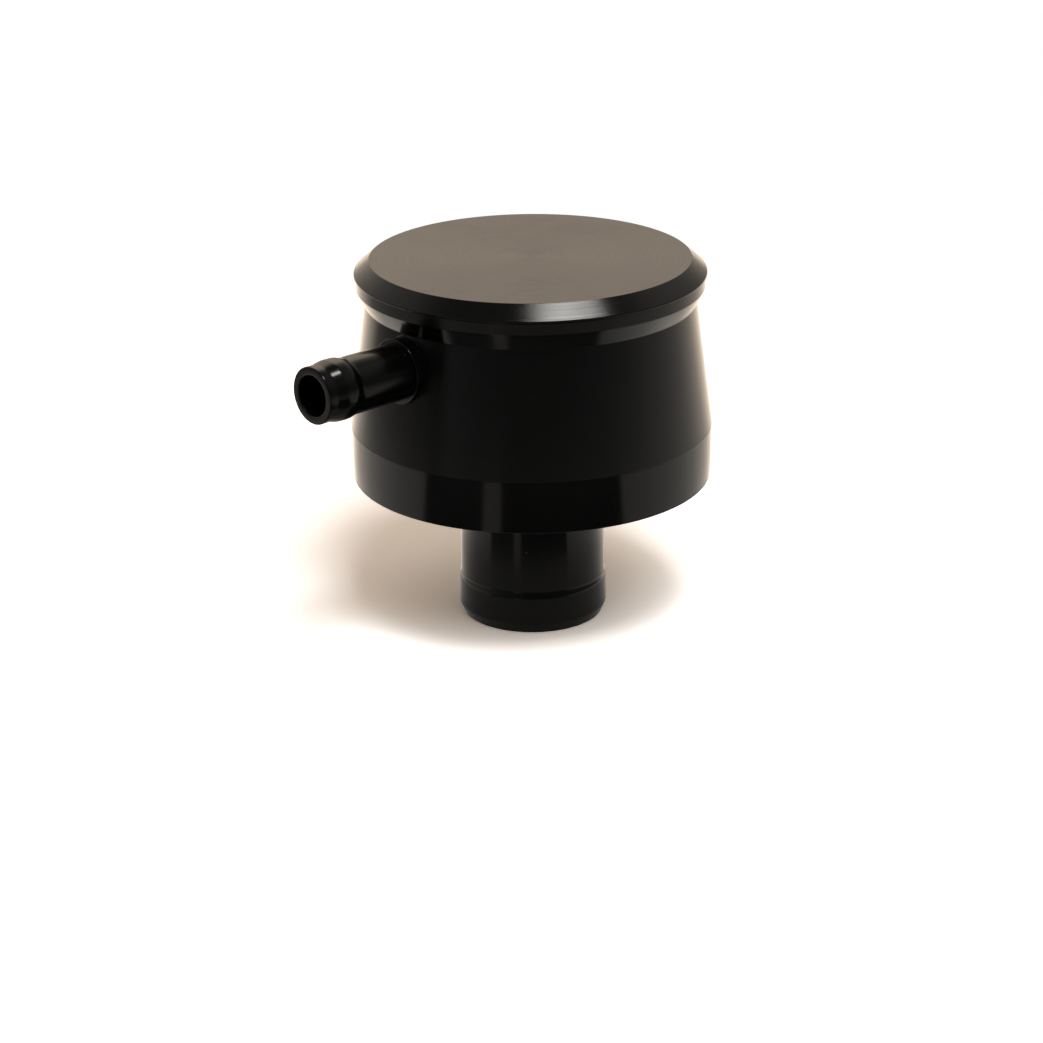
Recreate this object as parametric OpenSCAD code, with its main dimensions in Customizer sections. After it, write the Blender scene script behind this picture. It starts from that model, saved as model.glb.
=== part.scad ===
// Breather cap with a push-in neck, a hose barb and a screwed lid.
// The cap stands on the end of its neck. The origin is on the cap's axis at that end,
// +Z points up to the lid, and the hose barb points along -X.

/* [Neck] */
// Outside diameter of the push-in neck
neck_d = 30.9; // [28:0.1:33]
// Length of the neck, from its end to the shoulder
neck_l = 31.7; // [26:0.1:45]
// Bore through the neck
neck_bore_d = 25.4; // [20:0.1:26]
// How far the retaining bead stands out of the neck
bead_rise = 0.45; // [0.25:0.05:0.8]
// Length of the bead's cylindrical crest
bead_crest_l = 5.5; // [2:0.5:6]
// Length of the tapered lead-in below the bead
lead_in_l = 2.2; // [1.5:0.1:4]
// Fillet where the neck meets the shoulder
neck_root_r = 0.9; // [0.85:0.05:1.5]

/* [Base] */
// Diameter of the base band
base_d = 76.2; // [72:0.1:90]
// Height of the base band
band_h = 10.9; // [9.5:0.1:16]
// Thickness of the floor under the baffle posts
floor_t = 3.6; // [3.2:0.1:5]
// Fall of the floor towards the bore, for oil to drain back
drain_fall = 0.6; // [0.3:0.1:1]
// Height of the threaded boss that screws into the body
boss_h = 6.4; // [6:0.1:10]
// Wall of the threaded boss
boss_wall = 3; // [2.6:0.1:3.4]
// Width of the ledge that carries the lower screen
ledge_w = 1.5; // [1.2:0.1:3]

/* [Body] */
// Height of the conical wall
cone_h = 26.9; // [26:0.1:40]
// Taper of the conical wall from the vertical
cone_taper = 7.6; // [4:0.1:8.5]
// How far the body stands out past the base band at the seam
seam_step = 0.2; // [0.1:0.05:0.5]
// Wall thickness at the top of the cone
body_wall = 3.5; // [3.2:0.1:4.5]
// Height of the flare between the cone and the rim
flare_h = 3.2; // [2.5:0.1:5]
// How far the flare stands out past the top of the cone
flare_w = 1.45; // [1:0.05:2.5]
// Height of the rim
rim_h = 2.7; // [2:0.1:5]
// Small bevel that breaks the turned edges
edge_break = 0.3; // [0.2:0.05:0.4]

/* [Lid] */
// How far the lid stands out past the rim
lid_overhang = 0.35; // [0.1:0.05:1]
// Height of the lid's upright edge
lid_edge_h = 0.45; // [0.3:0.05:1.5]
// Height of the lid's bevel
lid_bevel_h = 2.8; // [2:0.1:4]
// Width of the lid's bevel
lid_bevel_w = 3.2; // [2:0.1:5]
// Thickness of the lid's middle
lid_t = 3.7; // [3:0.1:4.5]
// Depth of the lid's skirt below the rim
skirt_l = 6.9; // [6.5:0.1:8]
// Wall of the skirt
skirt_wall = 3.2; // [2.8:0.1:4]
// Length of the threads between the skirt and the body
lid_thread_l = 4; // [3:0.1:4.2]

/* [Hose barb] */
// Depth of the barb's axis below the top of the cone
barb_drop = 7.4; // [7:0.1:8.2]
// Length of the barb from its seat to its end
barb_l = 24.6; // [20:0.1:32]
// Bore of the barb
barb_bore_d = 8.4; // [6:0.1:8.8]
// Diameter of the barb's tube
barb_tube_d = 11.8; // [11.2:0.1:12.2]
// Diameter over the barb's bulge
barb_bulge_d = 12.7; // [12.3:0.1:13.2]
// Length of the bulge's cylindrical crest
barb_crest_l = 1.9; // [1:0.1:4]
// Length of the barb past its bulge
barb_lip_l = 1.9; // [0.5:0.1:3]
// Diameter of the barb's collar
collar_d = 13.5; // [13.2:0.1:14.2]
// Length of the barb's collar
collar_l = 2.9; // [2:0.1:4]
// Diameter of the barb's threaded shank
shank_d = 10; // [9.8:0.1:10.4]
// How far the shank stands into the chamber
shank_inside = 2; // [1:0.1:3]
// Depth of the seat cut into the cone below its lowest point
barb_seat_depth = 0.4; // [0.2:0.05:0.8]

/* [Filter] */
// Thickness of each filter pad
pad_t = 4; // [3:0.1:4.5]
// Thickness of the perforated screens
screen_t = 1; // [0.8:0.1:1.5]
// Diameter of the holes in the screens
screen_hole_d = 3; // [2:0.1:3.5]
// Spacing of the holes in the screens
screen_pitch = 6; // [5:0.1:8]
// Thickness of the snap ring
snap_ring_t = 1.2; // [1:0.1:1.5]
// Width of the snap ring
snap_ring_w = 2.4; // [2:0.1:3]
// Depth of the snap ring's groove in the body
snap_groove = 1.1; // [0.8:0.1:1.4]
// Opening between the snap ring's ends, in degrees
snap_gap_angle = 24; // [18:1:40]

/* [Splash baffle] */
// Height of the posts
post_h = 4; // [3.5:0.1:5]
// Diameter of the posts
post_d = 5; // [4.5:0.1:6]
// Diameter of the posts' studs and of the screws
screw_d = 3; // [2.5:0.1:3.2]
// Length of the studs in the floor
stud_l = 2.4; // [2:0.1:2.8]
// Thickness of the splash baffle
baffle_t = 1.2; // [1:0.1:1.5]
// Depth of the baffle's turned-down lip below its plate
lip_h = 2; // [1:0.1:2.4]
// Passage between the baffle and the wall around it
baffle_passage = 3.5; // [2.5:0.1:5]
// Distance from the posts' circle to the baffle's edge
post_inset = 5.5; // [5:0.1:7]
// Diameter of the baffle screws' heads
head_d = 5.6; // [5:0.1:6]
// Height of the baffle screws' heads
head_h = 1.3; // [1:0.1:1.6]

/* [Seals and fits] */
// Thickness of the seals of the lid and the base
seal_d = 1.6; // [1.4:0.1:1.8]
// Thickness of the hose barb's seal
barb_seal_d = 1; // [0.8:0.05:1.1]
// Radial clearance of the threads and the lid's guide
thread_gap = 0.05; // [0.03:0.01:0.1]
// Clearance between the lid and the rim, and round the lid's seal
lid_gap = 0.05; // [0.03:0.01:0.1]
// Clearance of fixed pieces in their seats
fit_gap = 0.05; // [0.02:0.01:0.1]
// Clearance between the screw heads and the lower screen
head_clearance = 0.9; // [0.5:0.1:1.5]

/* [Hidden] */
$fn = 96;

// Posts under the splash baffle, each a node of its own
posts = 4;

// Colours of the real materials
black_anodised = "#1c1b1a";
rubber = "#161616";
steel = "#b8bcc0";
bare_alloy = "#c9cccf";
filter_foam = "#3c4650";

// Heights, from the neck's end up
shoulder_z = neck_l;
seam_z = shoulder_z + band_h;
cone_top_z = seam_z + cone_h;
rim_low_z = cone_top_z + flare_h;
rim_top_z = rim_low_z + rim_h;
lid_low_z = rim_top_z + lid_gap;
lid_top_z = lid_low_z + lid_edge_h + lid_bevel_h;
floor_z = shoulder_z + floor_t;
baffle_z = floor_z + post_h;
baffle_top_z = baffle_z + baffle_t;
ledge_z = baffle_top_z + head_h + head_clearance;
lower_pad_z = ledge_z + screen_t;
upper_pad_z = lower_pad_z + pad_t;
upper_screen_z = upper_pad_z + pad_t;
snap_ring_z = upper_screen_z + screen_t + fit_gap;
boss_top_z = seam_z + boss_h;
skirt_low_z = rim_top_z - skirt_l;

// Radii, from the outside in
neck_r = neck_d / 2;
neck_bore_r = neck_bore_d / 2;
bead_r = neck_r + bead_rise;
base_r = base_d / 2;
cone_low_r = base_r + seam_step;
cone_top_r = cone_low_r - cone_h * tan(cone_taper);
rim_r = cone_top_r + flare_w + edge_break;
lid_r = rim_r + lid_overhang;
lid_top_r = lid_r - lid_bevel_w;
chamber_r = cone_top_r - body_wall;
pad_bore_r = chamber_r - 0.2;
pad_r = pad_bore_r - fit_gap;
ledge_r = pad_bore_r - ledge_w;
boss_r = pad_bore_r + boss_wall;
boss_bore_r = boss_r + thread_gap;
baffle_r = ledge_r - baffle_passage;
post_circle_r = baffle_r - post_inset;
snap_groove_r = chamber_r + snap_groove;

// The lid's thread, guide and seal
thread_step = 0.55;
thread_bore_r = chamber_r + thread_step;
thread_r = thread_bore_r - thread_gap;
guide_step = 0.55;
guide_bore_r = thread_bore_r + guide_step;
guide_r = guide_bore_r - thread_gap;
skirt_r = thread_r - skirt_wall;
guide_low_z = skirt_low_z + lid_thread_l;
lid_seal_r = guide_bore_r - lid_gap - seal_d / 2;
lid_seal_z = (guide_low_z + rim_top_z) / 2;
base_seal_r = boss_bore_r - fit_gap - seal_d / 2;
base_seal_z = seam_z + seal_d;

// The hose barb, measured outwards from its seat on the cone
barb_z = cone_top_z - barb_drop;
collar_r = collar_d / 2;
tube_r = barb_tube_d / 2;
bulge_r = barb_bulge_d / 2;
shank_r = shank_d / 2;
barb_bore_r = barb_bore_d / 2;
cone_r_at_collar_top = cone_top_r + (barb_drop - collar_r) * tan(cone_taper);
cone_r_at_barb = cone_top_r + barb_drop * tan(cone_taper);
cone_r_beside_collar = sqrt(pow(cone_r_at_barb, 2) - pow(collar_r, 2));
barb_seat_r = min(cone_r_at_collar_top, cone_r_beside_collar) - barb_seat_depth;
shank_l = barb_seat_r - chamber_r + shank_inside;
barb_seal_r = shank_r + fit_gap + barb_seal_d / 2;
bulge_flank_l = 2.5;
bulge_end_s = barb_l - barb_lip_l;
bulge_start_s = bulge_end_s - barb_crest_l - 2 * bulge_flank_l;

// Points of an arc in a profile, from angle a0 to angle a1
function arc(cr, cz, r, a0, a1, steps) =
    [for (i = [0 : steps]) let (a = a0 + (a1 - a0) * i / steps) [cr + r * cos(a), cz + r * sin(a)]];

// Points of a smooth change of radius between two places along a profile
function blend(r0, s0, r1, s1, steps) =
    [for (i = [0 : steps]) let (t = i / steps) [r0 + (r1 - r0) * (1 - cos(180 * t)) / 2, s0 + (s1 - s0) * t]];

module turned(points) {
    rotate_extrude() polygon(points);
}

module at_posts(i) {
    rotate([0, 0, 45 + 360 * i / posts]) translate([post_circle_r, 0, 0]) children();
}

module ring_seal(r, z, d) {
    translate([0, 0, z]) rotate_extrude() translate([r, 0]) circle(d = d, $fn = 48);
}

// Neck, shoulder, band, drained floor and threaded boss, turned from one bar
module base() {
    seal_low_z = base_seal_z - seal_d / 2 - fit_gap;
    seal_high_z = base_seal_z + seal_d / 2 + fit_gap;
    seal_floor_r = base_seal_r - seal_d / 2 - fit_gap;
    land_w = post_d / 2 + 1;
    bead_top_z = lead_in_l + bead_crest_l;
    color(black_anodised) difference() {
        turned(concat(
            [[neck_bore_r, edge_break], [neck_bore_r + edge_break, 0], [neck_r - bead_rise, 0],
             [bead_r, lead_in_l], [bead_r, bead_top_z]],
            blend(bead_r, bead_top_z, neck_r, bead_top_z + 1.8, 6),
            arc(neck_r + neck_root_r, shoulder_z - neck_root_r, neck_root_r, 180, 90, 5),
            [[base_r - edge_break, shoulder_z], [base_r, shoulder_z + edge_break],
             [base_r, seam_z - edge_break / 2], [base_r - edge_break / 2, seam_z],
             [boss_r, seam_z], [boss_r, seal_low_z], [seal_floor_r, seal_low_z],
             [seal_floor_r, seal_high_z], [boss_r, seal_high_z],
             [boss_r, boss_top_z - edge_break], [boss_r - edge_break, boss_top_z],
             [pad_bore_r, boss_top_z], [pad_bore_r, ledge_z], [ledge_r, ledge_z],
             [ledge_r, floor_z + drain_fall],
             [post_circle_r + land_w, floor_z], [post_circle_r - land_w, floor_z],
             [neck_bore_r, floor_z - drain_fall]]));
        for (i = [0 : posts - 1]) at_posts(i)
            translate([0, 0, floor_z - stud_l - fit_gap]) cylinder(d = screw_d + 2 * fit_gap, h = stud_l + 1);
    }
}

module base_seal() {
    color(rubber) ring_seal(base_seal_r, base_seal_z, seal_d);
}

// Conical wall, flare and rim, with the bores for the base, the filter and the lid
module body() {
    snap_low_z = snap_ring_z - fit_gap;
    snap_high_z = snap_ring_z + snap_ring_t + fit_gap;
    thread_low_z = skirt_low_z - 0.6;
    mouth_break = 0.4;
    color(black_anodised) difference() {
        turned([
            [boss_bore_r, seam_z], [cone_low_r - edge_break / 2, seam_z],
            [cone_low_r, seam_z + edge_break / 2], [cone_top_r, cone_top_z],
            [cone_top_r + flare_w, rim_low_z], [rim_r, rim_low_z + edge_break],
            [rim_r, rim_top_z - edge_break], [rim_r - edge_break, rim_top_z],
            [guide_bore_r + mouth_break, rim_top_z], [guide_bore_r, rim_top_z - mouth_break],
            [guide_bore_r, guide_low_z - lid_gap], [thread_bore_r, guide_low_z - guide_step - lid_gap],
            [thread_bore_r, thread_low_z], [chamber_r, thread_low_z - thread_step],
            [chamber_r, snap_high_z], [snap_groove_r, snap_high_z],
            [snap_groove_r, snap_low_z], [chamber_r, snap_low_z],
            [chamber_r, boss_top_z + fit_gap], [boss_bore_r, boss_top_z + fit_gap]]);
        translate([-barb_seat_r, 0, barb_z]) rotate([0, -90, 0])
            cylinder(r = collar_r + 0.15, h = base_r);
        translate([-chamber_r + 3, 0, barb_z]) rotate([0, -90, 0])
            cylinder(r = shank_r + fit_gap, h = base_r);
    }
}

// Bevelled disc with the threaded skirt and the groove for its seal
module lid() {
    groove_low_z = lid_seal_z - seal_d / 2 - lid_gap;
    groove_high_z = lid_seal_z + seal_d / 2 + lid_gap;
    groove_r = lid_seal_r - seal_d / 2 - lid_gap;
    ceiling_z = lid_top_z - lid_t;
    ceiling_fillet = 1;
    color(black_anodised) turned(concat(
        [[0, ceiling_z]],
        arc(skirt_r - ceiling_fillet, ceiling_z - ceiling_fillet, ceiling_fillet, 90, 0, 5),
        [[skirt_r, skirt_low_z], [thread_r - edge_break, skirt_low_z],
         [thread_r, skirt_low_z + edge_break], [thread_r, guide_low_z - guide_step],
         [guide_r, guide_low_z], [guide_r, groove_low_z], [groove_r, groove_low_z],
         [groove_r, groove_high_z], [guide_r, groove_high_z],
         [guide_r, lid_low_z], [lid_r - edge_break / 2, lid_low_z],
         [lid_r, lid_low_z + edge_break / 2], [lid_r, lid_low_z + lid_edge_h],
         [lid_top_r + edge_break / 3, lid_top_z - edge_break / 3],
         [lid_top_r - edge_break / 3, lid_top_z], [0, lid_top_z]]));
}

module lid_seal() {
    color(rubber) ring_seal(lid_seal_r, lid_seal_z, seal_d);
}

// Turned hose fitting: shank, collar, tube and bulge
module hose_barb() {
    seal_in_r = barb_seal_r - barb_seal_d / 2 - fit_gap / 2;
    seal_out_r = barb_seal_r + barb_seal_d / 2 + fit_gap / 2;
    seal_depth = barb_seal_d;
    collar_fillet = min(0.4, (collar_r - tube_r) / 2 - 0.02);
    bore_lead = 0.35;
    color(black_anodised) translate([-barb_seat_r, 0, barb_z]) rotate([0, -90, 0])
        turned(concat(
            [[barb_bore_r, -shank_l], [shank_r - edge_break, -shank_l],
             [shank_r, edge_break - shank_l], [shank_r, 0], [seal_in_r, 0],
             [seal_in_r, seal_depth], [seal_out_r, seal_depth], [seal_out_r, 0],
             [collar_r, 0], [collar_r, collar_l - collar_fillet]],
            arc(collar_r - collar_fillet, collar_l - collar_fillet, collar_fillet, 0, 90, 4),
            arc(tube_r + collar_fillet, collar_l + collar_fillet, collar_fillet, 270, 180, 4),
            blend(tube_r, bulge_start_s, bulge_r, bulge_start_s + bulge_flank_l, 6),
            blend(bulge_r, bulge_end_s - bulge_flank_l, tube_r, bulge_end_s, 6),
            arc(tube_r - edge_break, barb_l - edge_break, edge_break, 0, 90, 3),
            [[barb_bore_r + bore_lead, barb_l], [barb_bore_r, barb_l - bore_lead]]));
}

module barb_seal() {
    color(rubber) translate([-barb_seat_r, 0, barb_z]) rotate([0, -90, 0])
        ring_seal(barb_seal_r, barb_seal_d / 2, barb_seal_d - 0.05);
}

// Dished disc over the neck's bore, with a lip turned down for oil to drip from
module splash_baffle() {
    lip_fillet = baffle_t / 2;
    color(bare_alloy) difference() {
        turned(concat(
            [[0, baffle_z], [baffle_r - baffle_t, baffle_z], [baffle_r - baffle_t, baffle_z - lip_h],
             [baffle_r, baffle_z - lip_h]],
            arc(baffle_r - lip_fillet, baffle_top_z - lip_fillet, lip_fillet, 0, 90, 5),
            [[0, baffle_top_z]]));
        for (i = [0 : posts - 1]) at_posts(i)
            translate([0, 0, baffle_z - 1]) cylinder(d = screw_d + 0.2, h = baffle_t + 2);
    }
}

// Post with a stud in the floor and a tapped hole for its screw
module baffle_post(i) {
    hole_l = post_h - 1;
    color(steel) at_posts(i) difference() {
        union() {
            translate([0, 0, floor_z]) cylinder(d = post_d, h = post_h);
            translate([0, 0, floor_z - stud_l]) cylinder(d = screw_d, h = stud_l + 0.5);
        }
        translate([0, 0, baffle_z - hole_l]) cylinder(d = screw_d, h = hole_l + 1);
    }
}

// Pan-head screw with a hexagon socket
module baffle_screw(i) {
    screw_l = baffle_t + post_h - 2;
    socket_af = screw_d * 0.6;
    dome = head_h * 0.4;
    color(steel) at_posts(i) difference() {
        union() {
            translate([0, 0, baffle_top_z - screw_l]) cylinder(d = screw_d - 2 * fit_gap, h = screw_l + 0.5);
            translate([0, 0, baffle_top_z]) turned([[0, 0], [head_d / 2, 0],
                [head_d / 2, head_h - dome], [head_d / 2 - dome, head_h], [0, head_h]]);
        }
        translate([0, 0, baffle_top_z + head_h / 2])
            cylinder(d = socket_af / cos(30), h = head_h, $fn = 6);
    }
}

// Perforated disc with its holes on rings, the same spacing apart all round
module screen(z, r) {
    rings = floor((ledge_r - 1 - screen_hole_d / 2) / screen_pitch);
    color(steel) translate([0, 0, z]) difference() {
        cylinder(r = r, h = screen_t);
        for (k = [0 : rings]) for (j = [0 : max(6 * k, 1) - 1])
            rotate([0, 0, 360 * j / max(6 * k, 1)]) translate([k * screen_pitch, 0, -1])
                cylinder(d = screen_hole_d, h = screen_t + 2, $fn = 24);
    }
}

module lower_screen() {
    screen(ledge_z, pad_r);
}

module upper_screen() {
    screen(upper_screen_z, pad_r);
}

module pad(z) {
    color(filter_foam) translate([0, 0, z]) cylinder(r = pad_r, h = pad_t);
}

module lower_pad() {
    pad(lower_pad_z);
}

module upper_pad() {
    pad(upper_pad_z);
}

// Sprung ring with an eye at each end, held in the body's groove
module snap_ring() {
    ring_r = snap_groove_r - fit_gap;
    ring_in_r = ring_r - snap_ring_w;
    eye_r = 2.1;
    eye_hole_d = 1.6;
    eye_circle_r = ring_in_r - eye_r * 0.35;
    eye_angle = snap_gap_angle / 2 + asin(eye_r / eye_circle_r);
    far = 2 * ring_r;
    color(steel) translate([0, 0, snap_ring_z]) linear_extrude(snap_ring_t) difference() {
        union() {
            difference() {
                circle(r = ring_r);
                circle(r = ring_in_r);
                polygon([[0, 0], [far, far * tan(snap_gap_angle / 2)], [far, -far * tan(snap_gap_angle / 2)]]);
            }
            for (side = [-1, 1]) rotate(side * eye_angle) translate([eye_circle_r, 0]) circle(r = eye_r);
        }
        for (side = [-1, 1]) rotate(side * eye_angle) translate([eye_circle_r, 0]) circle(d = eye_hole_d);
    }
}

base();
base_seal();
body();
lid();
lid_seal();
hose_barb();
barb_seal();
splash_baffle();
baffle_post(0);  // baffle_post_1
baffle_post(1);  // baffle_post_2
baffle_post(2);  // baffle_post_3
baffle_post(3);  // baffle_post_4
baffle_screw(0);  // baffle_screw_1
baffle_screw(1);  // baffle_screw_2
baffle_screw(2);  // baffle_screw_3
baffle_screw(3);  // baffle_screw_4
lower_screen();
lower_pad();
upper_pad();
upper_screen();
snap_ring();
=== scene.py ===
import math

import bmesh
import bpy
from mathutils import Matrix, Vector


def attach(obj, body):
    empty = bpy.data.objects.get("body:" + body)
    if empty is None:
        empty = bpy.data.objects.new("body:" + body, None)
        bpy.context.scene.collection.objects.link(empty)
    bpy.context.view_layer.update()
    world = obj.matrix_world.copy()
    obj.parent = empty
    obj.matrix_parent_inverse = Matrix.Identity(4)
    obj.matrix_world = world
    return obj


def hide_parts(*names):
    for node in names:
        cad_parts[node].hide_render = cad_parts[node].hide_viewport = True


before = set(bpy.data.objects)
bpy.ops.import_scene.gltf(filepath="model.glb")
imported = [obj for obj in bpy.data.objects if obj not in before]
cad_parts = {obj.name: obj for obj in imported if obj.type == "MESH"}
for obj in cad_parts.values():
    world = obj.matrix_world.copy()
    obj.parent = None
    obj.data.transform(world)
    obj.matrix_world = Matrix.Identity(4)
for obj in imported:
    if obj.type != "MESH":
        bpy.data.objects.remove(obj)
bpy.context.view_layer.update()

# Looks of a breather cap in black anodised alloy. Lengths in the dictionaries are in mm,
# those of the lamps and the floor in m. The axis of the cap is Z, and the hose barb
# points along -X.
mm = 0.001
scene = bpy.context.scene
collection = scene.collection
print("frame loaded", len(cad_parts), "nodes")


# Camera at the photograph's place

cameraPlace = {
    "position": (-383.49, -412.12, 239.94),
    "aim": (-1.73, 1.59, 19.54),
    "roll": -0.55,      # degrees
    "lens": 96.82,
    "sensor": 36.0,
    "clip": (0.02, 20),     # metres
}


def makeCamera(place):
    data = bpy.data.cameras.new("photoCamera")
    data.lens = place["lens"]
    data.sensor_width = place["sensor"]
    data.sensor_fit = "HORIZONTAL"
    data.clip_start, data.clip_end = place["clip"]
    camera = bpy.data.objects.new("photoCamera", data)
    collection.objects.link(camera)
    position = Vector(place["position"]) * mm
    look = Vector(place["aim"]) * mm - position
    turn = look.to_track_quat("-Z", "Y").to_matrix()
    roll = Matrix.Rotation(math.radians(place["roll"]), 3, "Z")
    camera.matrix_world = Matrix.Translation(position) @ (turn @ roll).to_4x4()
    scene.camera = camera


makeCamera(cameraPlace)
print("camera placed")


# Small helpers for node trees
def addNode(tree, kind, **settings):
    node = tree.nodes.new(kind)
    for name, value in settings.items():
        setattr(node, name, value)
    return node


def feed(tree, socket, value):
    if isinstance(value, bpy.types.NodeSocket):
        tree.links.new(value, socket)
    elif value is not None:
        socket.default_value = value


def calc(tree, operation, *values, clamp=False):
    node = addNode(tree, "ShaderNodeMath", operation=operation, use_clamp=clamp)
    for socket, value in zip(node.inputs, values):
        feed(tree, socket, value)
    return node.outputs[0]


def vector(tree, operation, *values, scale=None):
    node = addNode(tree, "ShaderNodeVectorMath", operation=operation)
    for socket, value in zip(node.inputs, values):
        feed(tree, socket, value)
    if scale is not None:
        feed(tree, node.inputs["Scale"], scale)
    isValue = operation in ("LENGTH", "DOT_PRODUCT", "DISTANCE")
    return node.outputs["Value" if isValue else "Vector"]


def split(tree, value):
    node = addNode(tree, "ShaderNodeSeparateXYZ")
    feed(tree, node.inputs[0], value)
    return node.outputs


def combine(tree, x, y, z):
    node = addNode(tree, "ShaderNodeCombineXYZ")
    for socket, value in zip(node.inputs, (x, y, z)):
        feed(tree, socket, value)
    return node.outputs[0]


def ramp(tree, value, stops):
    node = addNode(tree, "ShaderNodeValToRGB")
    while len(node.color_ramp.elements) < len(stops):
        node.color_ramp.elements.new(0.5)
    for element, (place, colour) in zip(node.color_ramp.elements, stops):
        element.position = place
        element.color = (*colour, 1)
    feed(tree, node.inputs[0], value)
    return node.outputs[0]


def between(tree, value, low, high, fromValue=0.0, toValue=1.0, smooth=True):
    node = addNode(tree, "ShaderNodeMapRange")
    if smooth:
        node.interpolation_type = "SMOOTHSTEP"
    for name, setting in (("Value", value), ("From Min", low), ("From Max", high),
                          ("To Min", fromValue), ("To Max", toValue)):
        feed(tree, node.inputs[name], setting)
    return node.outputs[0]


def blendColour(tree, amount, first, second, mode="MIX"):
    node = addNode(tree, "ShaderNodeMix", data_type="RGBA", blend_type=mode)
    feed(tree, node.inputs[0], amount)
    feed(tree, node.inputs[6], first)
    feed(tree, node.inputs[7], second)
    return node.outputs[2]


def texture(tree, kind, inputs, **settings):
    node = addNode(tree, "ShaderNodeTex" + kind, **settings)
    for name, value in inputs.items():
        feed(tree, node.inputs[name], value)
    return node.outputs


def newTree(name, kind, inputs, outputs):
    tree = bpy.data.node_groups.new(name, kind)
    for label, socketType, value in inputs:
        item = tree.interface.new_socket(label, in_out="INPUT", socket_type=socketType)
        if value is not None:
            item.default_value = value
    for label, socketType in outputs:
        tree.interface.new_socket(label, in_out="OUTPUT", socket_type=socketType)
    return tree, addNode(tree, "NodeGroupInput"), addNode(tree, "NodeGroupOutput")


# Shader groups that several finishes use

markForm = {
    "lean": 0.8,            # how much height counts beside radius
    "detail": 4, "roughness": 0.6,
    "sheenScale": 0.09,     # the sheen varies this much more slowly than the lines
    "cloudScale": 130, "cloudDetail": 3,
}
touchForm = {
    "smearDetail": 4, "smearDistortion": 0.6, "smearRange": (0.45, 0.7),
    "dustScale": 260, "dustEdge": (0.05, 0.02), "dustShare": 0.1,
}


def makeToolMarks(form):
    # Fine lines that run round the turning axis, Z of the vector
    tree, given, out = newTree("toolMarks", "ShaderNodeTree", [
        ("Vector", "NodeSocketVector", None), ("Pitch", "NodeSocketFloat", 0.35),
        ("Chatter", "NodeSocketFloat", 0.2)], [
        ("Marks", "NodeSocketFloat"), ("Sheen", "NodeSocketFloat")])
    x, y, z = split(tree, given.outputs["Vector"])
    radius = calc(tree, "SQRT", calc(tree, "ADD", calc(tree, "MULTIPLY", x, x),
                                     calc(tree, "MULTIPLY", y, y)))
    along = calc(tree, "SUBTRACT", radius, calc(tree, "MULTIPLY", z, form["lean"]))
    turns = calc(tree, "DIVIDE", along, calc(tree, "MULTIPLY", given.outputs["Pitch"], mm))
    lines = texture(tree, "Noise", noise_dimensions="1D", inputs={
        "W": turns, "Scale": 1, "Detail": form["detail"], "Roughness": form["roughness"]})
    broad = texture(tree, "Noise", noise_dimensions="1D", inputs={
        "W": calc(tree, "MULTIPLY", turns, form["sheenScale"]), "Scale": 1})
    cloud = texture(tree, "Noise", inputs={
        "Vector": given.outputs["Vector"], "Scale": form["cloudScale"],
        "Detail": form["cloudDetail"]})
    uneven = calc(tree, "MULTIPLY", calc(tree, "SUBTRACT", cloud[0], 0.5),
                  given.outputs["Chatter"])
    feed(tree, out.inputs["Marks"], calc(tree, "ADD", lines[0], uneven))
    feed(tree, out.inputs["Sheen"], broad[0])
    return tree


def makeHandling(form):
    # Soft smudges and a few specks of dust
    tree, given, out = newTree("handling", "ShaderNodeTree", [
        ("Vector", "NodeSocketVector", None), ("Size", "NodeSocketFloat", 9.0),
        ("Dust", "NodeSocketFloat", 0.5)], [
        ("Smudge", "NodeSocketFloat"), ("Specks", "NodeSocketFloat")])
    smear = texture(tree, "Noise", inputs={
        "Vector": given.outputs["Vector"],
        "Scale": calc(tree, "DIVIDE", 1 / mm, given.outputs["Size"]),
        "Detail": form["smearDetail"], "Distortion": form["smearDistortion"]})
    feed(tree, out.inputs["Smudge"], between(tree, smear[0], *form["smearRange"]))
    dots = texture(tree, "Voronoi", feature="F1", inputs={
        "Vector": given.outputs["Vector"], "Scale": form["dustScale"]})
    near = between(tree, dots["Distance"], *form["dustEdge"])
    pick = split(tree, dots["Color"])[0]
    share = calc(tree, "MULTIPLY", given.outputs["Dust"], form["dustShare"])
    chosen = calc(tree, "LESS_THAN", pick, share)
    feed(tree, out.inputs["Specks"], calc(tree, "MULTIPLY", near, chosen))
    return tree


toolMarks = makeToolMarks(markForm)
handling = makeHandling(touchForm)


# Finishes

def emptyMaterial(name):
    material = bpy.data.materials.new(name)
    material.use_nodes = True
    material.node_tree.nodes.clear()
    return material, material.node_tree


def newMaterial(name):
    material, tree = emptyMaterial(name)
    out = addNode(tree, "ShaderNodeOutputMaterial")
    shader = addNode(tree, "ShaderNodeBsdfPrincipled")
    tree.links.new(shader.outputs[0], out.inputs["Surface"])
    return material, tree, shader


def objectVector(tree, place=(0, 0, 0), turn=(0, 0, 0)):
    coordinates = addNode(tree, "ShaderNodeTexCoord")
    mapping = addNode(tree, "ShaderNodeMapping", vector_type="TEXTURE")
    mapping.inputs["Location"].default_value = place
    mapping.inputs["Rotation"].default_value = turn
    feed(tree, mapping.inputs["Vector"], coordinates.outputs["Object"])
    return mapping.outputs[0]


def useGroup(tree, group, **values):
    node = addNode(tree, "ShaderNodeGroup", node_tree=group)
    for name, value in values.items():
        feed(tree, node.inputs[name], value)
    return node.outputs


def addBump(tree, shader, height, depth):
    bump = addNode(tree, "ShaderNodeBump")
    bump.inputs["Strength"].default_value = 1
    bump.inputs["Distance"].default_value = depth * mm
    feed(tree, bump.inputs["Height"], height)
    feed(tree, shader.inputs["Normal"], bump.outputs[0])


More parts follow.
